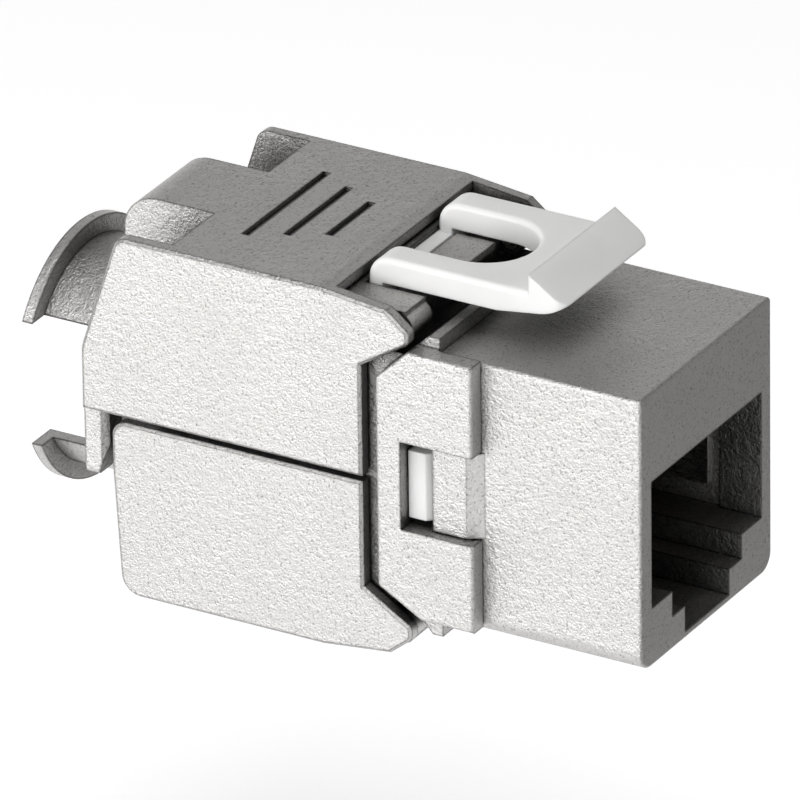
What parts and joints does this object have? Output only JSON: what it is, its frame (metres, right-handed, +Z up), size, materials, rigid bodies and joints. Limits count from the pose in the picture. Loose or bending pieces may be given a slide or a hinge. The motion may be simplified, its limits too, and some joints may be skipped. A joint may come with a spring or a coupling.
{
  "type": "keystone jack",
  "caption": "Shielded tool-less keystone network jack: die-cast shell with a modular plug port, two hinged terminating doors with cable collars and a sprung panel latch.",
  "frame": {"origin": "under the middle of the jack, on the surface that the lower door rests on", "axes": "+X across the jack, +Y from the plug port towards the cable end, +Z up towards the panel latch"},
  "size_m": [0.0168, 0.039, 0.0234],
  "materials": {
    "plated_zinc": "satin nickel plating over grainy die-cast zinc",
    "steel_pin": "smooth",
    "spring_metal": "smooth",
    "white_plastic": "smooth",
    "black_plastic": "satin",
    "board": "coated",
    "gold_contact": "polished",
    "blade_metal": "tin plated"
  },
  "bodies": {
    "body": {"front_housing": "plated_zinc", "rear_frame": "plated_zinc", "contact_carrier": "black_plastic", "circuit_board": "board", "terminal_core": "white_plastic", "upper_terminal_block": "white_plastic", "lower_terminal_block": "white_plastic", "pair_guide": "white_plastic", "shield_spring_left": "spring_metal", "shield_spring_right": "spring_metal", "contact_1": "gold_contact", "contact_2": "gold_contact", "contact_3": "gold_contact", "contact_4": "gold_contact", "contact_5": "gold_contact", "contact_6": "gold_contact", "contact_7": "gold_contact", "contact_8": "gold_contact", "upper_blade_1": "blade_metal", "upper_blade_2": "blade_metal", "upper_blade_3": "blade_metal", "upper_blade_4": "blade_metal", "lower_blade_1": "blade_metal", "lower_blade_2": "blade_metal", "lower_blade_3": "blade_metal", "lower_blade_4": "blade_metal", "upper_hinge_pin_left": "steel_pin", "upper_hinge_pin_right": "steel_pin", "lower_hinge_pin_left": "steel_pin", "lower_hinge_pin_right": "steel_pin"},
    "upper_door": {"upper_door": "plated_zinc", "upper_wire_presser": "white_plastic"},
    "lower_door": {"lower_door": "plated_zinc", "lower_wire_presser": "white_plastic"},
    "latch": {"latch": "white_plastic"}
  },
  "joints": [
    {"name": "upper_door_hinge", "type": "hinge", "parent": "body", "child": "upper_door", "pos_m": [0, -0.00465, 0.0197], "axis": [1, 0, 0], "range_deg": [0, 90]},
    {"name": "lower_door_hinge", "type": "hinge", "parent": "body", "child": "lower_door", "pos_m": [0, -0.00465, 0.0018], "axis": [1, 0, 0], "range_deg": [-90, 0]},
    {"name": "latch_flex", "type": "hinge", "parent": "body", "child": "latch", "pos_m": [0, -0.00185, 0.0191], "axis": [1, 0, 0], "range_deg": [0, 8], "stiffness_Nm_per_rad": 0.2}
  ]
}
